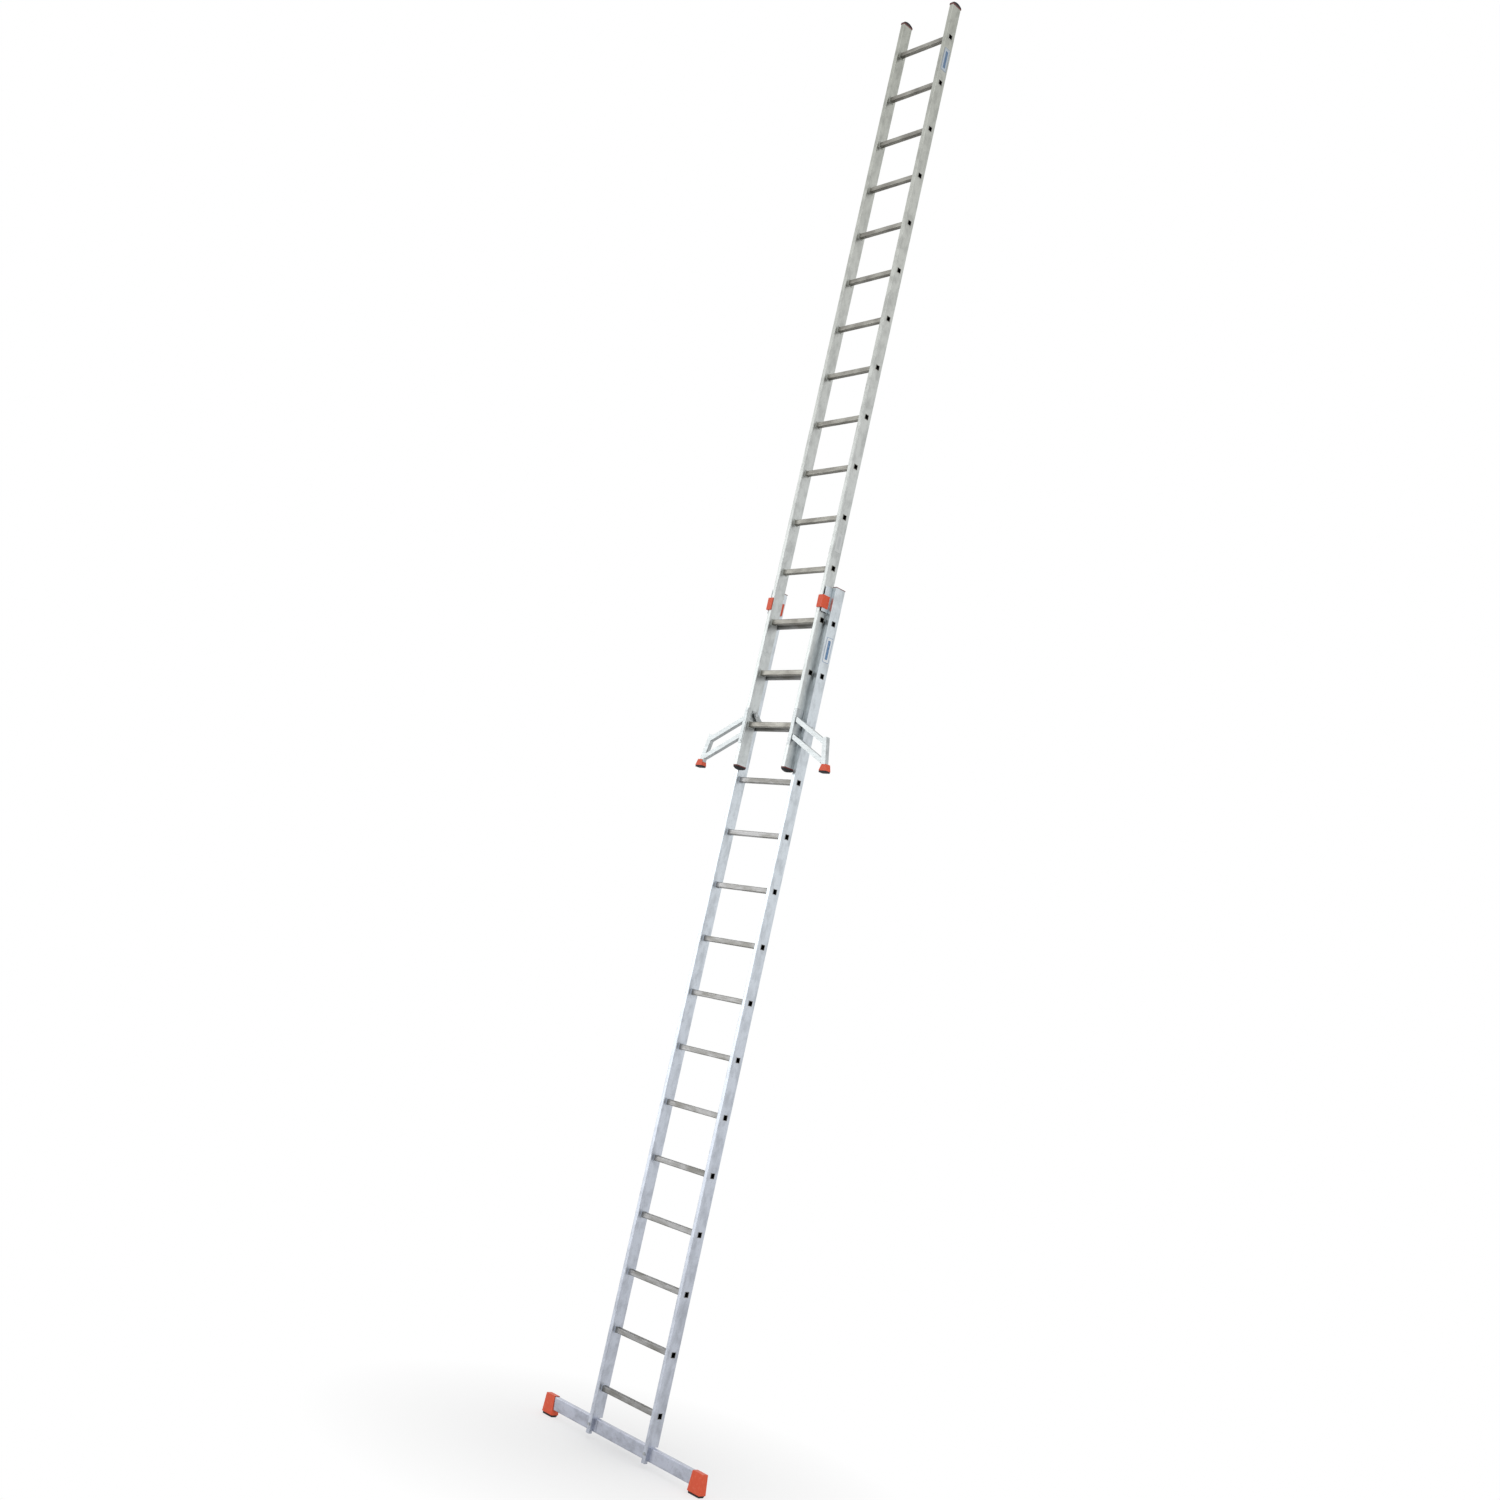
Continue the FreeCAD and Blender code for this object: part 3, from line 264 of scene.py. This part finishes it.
plastic = {"ior": 1.49, "scuff": 13 * mm, "scuffed": 0.5, "grain": 0.9 * mm, "rough": 0.45}
mouldedLooks = {
    "orangePolypropylene": {**plastic, "colour": "#e0512a", "worn": "#ec7a58"},
    "darkRedPolypropylene": {**plastic, "colour": "#6a231e", "worn": "#85382f"},
    "blackRubber": {"ior": 1.52, "scuff": 9 * mm, "scuffed": 0.55, "grain": 1.1 * mm, "rough": 0.72,
                    "colour": "#151417", "worn": "#38363a"},
}
orangePlastic, redPlastic, blackRubber = [mouldedMaterial(name, look) for name, look in mouldedLooks.items()]
dress(redPlastic, "upper_top_plugs", "upper_bottom_plugs", "lower_top_plugs")

# caps, guides, feet and rubbers have the rounded edges of mouldings: a bevelled copy stands for each
mouldings = {
    "crossbarCapLeft": ("crossbar_cap_left", 1.6 * mm, "lower_section", "orange_plastic", orangePlastic),
    "crossbarCapRight": ("crossbar_cap_right", 1.6 * mm, "lower_section", "orange_plastic", orangePlastic),
    "guideSliderLeft": ("guide_slider_left", 1.0 * mm, "lower_section", "orange_plastic", orangePlastic),
    "guideSliderRight": ("guide_slider_right", 1.0 * mm, "lower_section", "orange_plastic", orangePlastic),
    "outriggerFeet": ("outrigger_feet", 1.5 * mm, "upper_section", "orange_plastic", orangePlastic),
    "crossbarSoles": ("crossbar_soles", 1.5 * mm, "lower_section", "black_rubber", blackRubber),
    "outriggerSoles": ("outrigger_soles", 1.5 * mm, "upper_section", "black_rubber", blackRubber),
    "topPads": ("upper_top_pads", 1.5 * mm, "upper_section", "black_rubber", blackRubber),
    "bottomPads": ("upper_bottom_pads", 1.5 * mm, "upper_section", "black_rubber", blackRubber),
}
moulding = {"mergeWithin": 0.01 * mm, "flatWithin": 0.5, "sharpFrom": 25, "segments": 3}


def softenedCopy(name, node, radius, body, material):
    made = bmesh.new()
    made.from_mesh(nodes[node].data)
    bmesh.ops.remove_doubles(made, verts=made.verts, dist=moulding["mergeWithin"])
    bmesh.ops.dissolve_limit(made, angle_limit=math.radians(moulding["flatWithin"]),
                             verts=made.verts, edges=made.edges)
    sharp = [edge for edge in made.edges
             if edge.is_manifold and edge.calc_face_angle(0) > math.radians(moulding["sharpFrom"])]
    bmesh.ops.bevel(made, geom=sharp, offset=radius, segments=moulding["segments"], affect="EDGES",
                    profile=0.5, material=-1, clamp_overlap=True)
    bmesh.ops.recalc_face_normals(made, faces=made.faces)
    piece = meshPiece(name, made, body, material)
    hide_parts(node)


for name, (node, radius, body, slot, material) in mouldings.items():
    softenedCopy(name, node, radius, body, material)
print("plastics and rubber made")


# ---- zinc-plated steel: pale and slightly blotchy from the bath; springs are oiled and darker

steelLooks = {
    "zincPlatedSteel": {"clean": "#c2c5c6", "dull": "#a3a6a8", "rough": (0.26, 0.40)},
    "zincPlatedHookSteel": {"clean": "#b2b5b5", "dull": "#8f9393", "rough": (0.32, 0.46)},
    "oiledSpringSteel": {"clean": "#7d7c7a", "dull": "#5a5958", "rough": (0.24, 0.36)},
}


def platedSteel(name, look):
    material, tree, shader, coords = startMaterial(name, {"Metallic": 1.0})
    blotches = addNode(tree, "ShaderNodeTexNoise", {"Scale": 1 / (6 * mm), "Detail": 4.0}, {0: coords})
    level = addNode(tree, "ShaderNodeMapRange", {"From Min": 0.35, "From Max": 0.65}, {0: blotches.outputs[0]})
    colour = addNode(tree, "ShaderNodeMix", {"data_type": "RGBA", 6: toLinear(look["clean"]),
                                             7: toLinear(look["dull"])}, {0: level.outputs[0]})
    tree.links.new(colour.outputs[2], shader.inputs["Base Color"])
    rough = addNode(tree, "ShaderNodeMapRange", {"To Min": look["rough"][0], "To Max": look["rough"][1]},
                    {0: level.outputs[0]})
    tree.links.new(rough.outputs[0], shader.inputs["Roughness"])
    return material


zincSteel, hookSteel, springSteel = [platedSteel(name, look) for name, look in steelLooks.items()]
dress(zincSteel, "crossbar_bolts", "guide_rivets", "outrigger_rivets", "hook_pins")
dress(hookSteel, "hook_left", "hook_right", "hook_brackets")
dress(springSteel, "hook_springs")
print("steel dressed")


# ---- plain stickers on the right stiles' outer faces

sticker = {"width": 44 * mm, "thick": 0.25 * mm, "corner": 4 * mm, "frame": 2.2 * mm,
           "barHalf": 9 * mm, "barEnd": 16 * mm}
stickers = {
    "lowerSticker": {"stile": "lower_stile_right", "body": "lower_section", "rungs": (14, 15),
                     "height": 132 * mm, "paper": "#e6ebee", "ink": "#3b73a6"},
    "upperSticker": {"stile": "upper_stile_right", "body": "upper_section", "rungs": (14, 15),
                     "height": 132 * mm, "paper": "#bac4cc", "ink": "#4a6f96"},
    "upperLabel": {"stile": "upper_stile_right", "body": "upper_section", "rungs": (4, 5),
                   "height": 100 * mm, "paper": "#d2d5d4", "ink": "#c2c6c6"},
}


def printedVinyl(name, look, centre):
    # gloss-laminated vinyl: a plain frame and a plain bar printed on a pale ground
    material, tree, shader, coords = startMaterial(name, {"IOR": 1.5})
    fromCentre = addNode(tree, "ShaderNodeVectorMath", {"operation": "SUBTRACT", 1: centre}, {0: coords})
    distances = addNode(tree, "ShaderNodeVectorMath", {"operation": "ABSOLUTE"}, {0: fromCentre.outputs[0]})
    axes = addNode(tree, "ShaderNodeSeparateXYZ", links={0: distances.outputs[0]})
    across, along = axes.outputs["Y"], axes.outputs["Z"]
    halfWidth, halfHeight = sticker["width"] / 2, look["height"] / 2
    edges = []
    for kind, side, place in (("LESS_THAN", across, sticker["barHalf"]),
                              ("LESS_THAN", along, halfHeight - sticker["barEnd"]),
                              ("GREATER_THAN", across, halfWidth - sticker["frame"]),
                              ("GREATER_THAN", along, halfHeight - sticker["frame"])):
        edges.append(addNode(tree, "ShaderNodeMath", {"operation": kind, 1: place}, {0: side}).outputs[0])
    bar = addNode(tree, "ShaderNodeMath", {"operation": "MULTIPLY"}, {0: edges[0], 1: edges[1]})
    border = addNode(tree, "ShaderNodeMath", {"operation": "MAXIMUM"}, {0: edges[2], 1: edges[3]})
    printed = addNode(tree, "ShaderNodeMath", {"operation": "MAXIMUM"}, {0: bar.outputs[0], 1: border.outputs[0]})
    fading = addNode(tree, "ShaderNodeTexNoise", {"Scale": 1 / (15 * mm), "Detail": 5.0}, {0: coords})
    fadeLevel = addNode(tree, "ShaderNodeMapRange", {"From Min": 0.4, "From Max": 0.7, "To Min": 1.0,
                                                     "To Max": 0.7}, {0: fading.outputs[0]})
    amount = addNode(tree, "ShaderNodeMath", {"operation": "MULTIPLY"},
                     {0: printed.outputs[0], 1: fadeLevel.outputs[0]})
    colour = addNode(tree, "ShaderNodeMix", {"data_type": "RGBA", 6: toLinear(look["paper"]),
                                             7: toLinear(look["ink"])}, {0: amount.outputs[0]})
    tree.links.new(colour.outputs[2], shader.inputs["Base Color"])
    rough = addNode(tree, "ShaderNodeMapRange", {"To Min": 0.22, "To Max": 0.42}, {0: fading.outputs[0]})
    tree.links.new(rough.outputs[0], shader.inputs["Roughness"])
    return material


def makeSticker(name, look):
    low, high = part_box(look["stile"])
    section = look["stile"].split("_")[0]
    below, above = [centreOf("%s_rung_%02d" % (section, number)).z for number in look["rungs"]]
    centre = Vector((high[0] + sticker["thick"] / 2, (low[1] + high[1]) / 2, (below + above) / 2))
    made = bmesh.new()
    bmesh.ops.create_cube(made, size=1)
    bmesh.ops.scale(made, vec=(sticker["thick"], sticker["width"], look["height"]), verts=made.verts)
    corners = [edge for edge in made.edges if abs((edge.verts[0].co - edge.verts[1].co).x) > 1e-6]
    bmesh.ops.bevel(made, geom=corners, offset=sticker["corner"], segments=5, affect="EDGES",
                    profile=0.5, material=-1)
    bmesh.ops.translate(made, vec=centre, verts=made.verts)
    meshPiece(name, made, look["body"], printedVinyl(name + "Vinyl", look, centre))


for name, look in stickers.items():
    makeSticker(name, look)
print("stickers made")


# ---- floor, lamps, world and camera

studio = {"floorRadius": 9.0, "floorColour": "#f7f7f7", "whiteFrom": -0.9, "whiteTo": 1.5, "ambient": 0.66}


def makeFloor():
    material, tree, shader, coords = startMaterial("paleFloor", {"Roughness": 0.9})
    shader.inputs["Base Color"].default_value = toLinear(studio["floorColour"])
    away = addNode(tree, "ShaderNodeVectorMath", {"operation": "LENGTH"}, {0: coords})
    fade = addNode(tree, "ShaderNodeMapRange", {"From Min": studio["whiteFrom"], "From Max": studio["whiteTo"]},
                   {0: away.outputs["Value"]})
    seen = addNode(tree, "ShaderNodeLightPath")
    amount = addNode(tree, "ShaderNodeMath", {"operation": "MULTIPLY"},
                     {0: fade.outputs[0], 1: seen.outputs["Is Camera Ray"]})
    white = addNode(tree, "ShaderNodeEmission", {"Strength": 1.0})
    mixed = addNode(tree, "ShaderNodeMixShader",
                    links={0: amount.outputs[0], 1: shader.outputs[0], 2: white.outputs[0]})
    output = next(node for node in tree.nodes if node.bl_idname == "ShaderNodeOutputMaterial")
    tree.links.new(mixed.outputs[0], output.inputs["Surface"])
    made = bmesh.new()
    bmesh.ops.create_circle(made, cap_ends=True, segments=96, radius=studio["floorRadius"])
    meshPiece("floor", made, None, material)


def makeWorld():
    world = bpy.data.worlds.new("studio")
    bpy.context.scene.world = world
    world.use_nodes = True
    tree = world.node_tree
    tree.nodes.clear()
    ambient = addNode(tree, "ShaderNodeBackground", {"Color": (1, 1, 1, 1), "Strength": studio["ambient"]})
    white = addNode(tree, "ShaderNodeBackground", {"Color": (1, 1, 1, 1), "Strength": 1.0})
    path = addNode(tree, "ShaderNodeLightPath")
    mirrored = addNode(tree, "ShaderNodeMath", {"operation": "MAXIMUM"},
                       {0: path.outputs["Is Glossy Ray"], 1: path.outputs["Is Transmission Ray"]})
    seen = addNode(tree, "ShaderNodeMath", {"operation": "MAXIMUM"},
                   {0: path.outputs["Is Camera Ray"], 1: mirrored.outputs[0]})
    mixed = addNode(tree, "ShaderNodeMixShader", links={0: seen.outputs[0], 1: ambient.outputs[0],
                                                        2: white.outputs[0]})
    addNode(tree, "ShaderNodeOutputWorld", links={"Surface": mixed.outputs[0]})


lamps = {
    "keyLamp": {"from": (-0.73, -0.66, 0.10), "strength": 0.30, "angle": 24},
    "fillLamp": {"from": (0.75, -0.35, 0.85), "strength": 0.45, "angle": 60},
}


def makeSun(name, lamp):
    data = bpy.data.lights.new(name, "SUN")
    data.energy = lamp["strength"]
    data.angle = math.radians(lamp["angle"])
    sun = bpy.data.objects.new(name, data)
    sun.rotation_mode = "QUATERNION"
    sun.rotation_quaternion = Vector(lamp["from"]).to_track_quat("Z", "Y")
    bpy.context.scene.collection.objects.link(sun)


cameraPlace = {"at": (5.975, -5.519, 2.044), "aim": (-0.066, -0.078, 3.455), "roll": 12.69, "lens": 38.68}


def makeCamera():
    data = bpy.data.cameras.new("camera")
    data.lens = cameraPlace["lens"]
    data.sensor_width = 36
    data.clip_end = 200
    camera = bpy.data.objects.new("camera", data)
    at, aim = Vector(cameraPlace["at"]), Vector(cameraPlace["aim"])
    level = (aim - at).to_track_quat("-Z", "Y").to_matrix()
    turned = level @ Matrix.Rotation(math.radians(cameraPlace["roll"]), 3, "Z")
    camera.matrix_world = Matrix.Translation(at) @ turned.to_4x4()
    bpy.context.scene.collection.objects.link(camera)
    bpy.context.scene.camera = camera


makeFloor()
makeWorld()
for name, lamp in lamps.items():
    makeSun(name, lamp)
makeCamera()
bpy.context.scene.view_settings.view_transform = "Standard"
print("studio set")
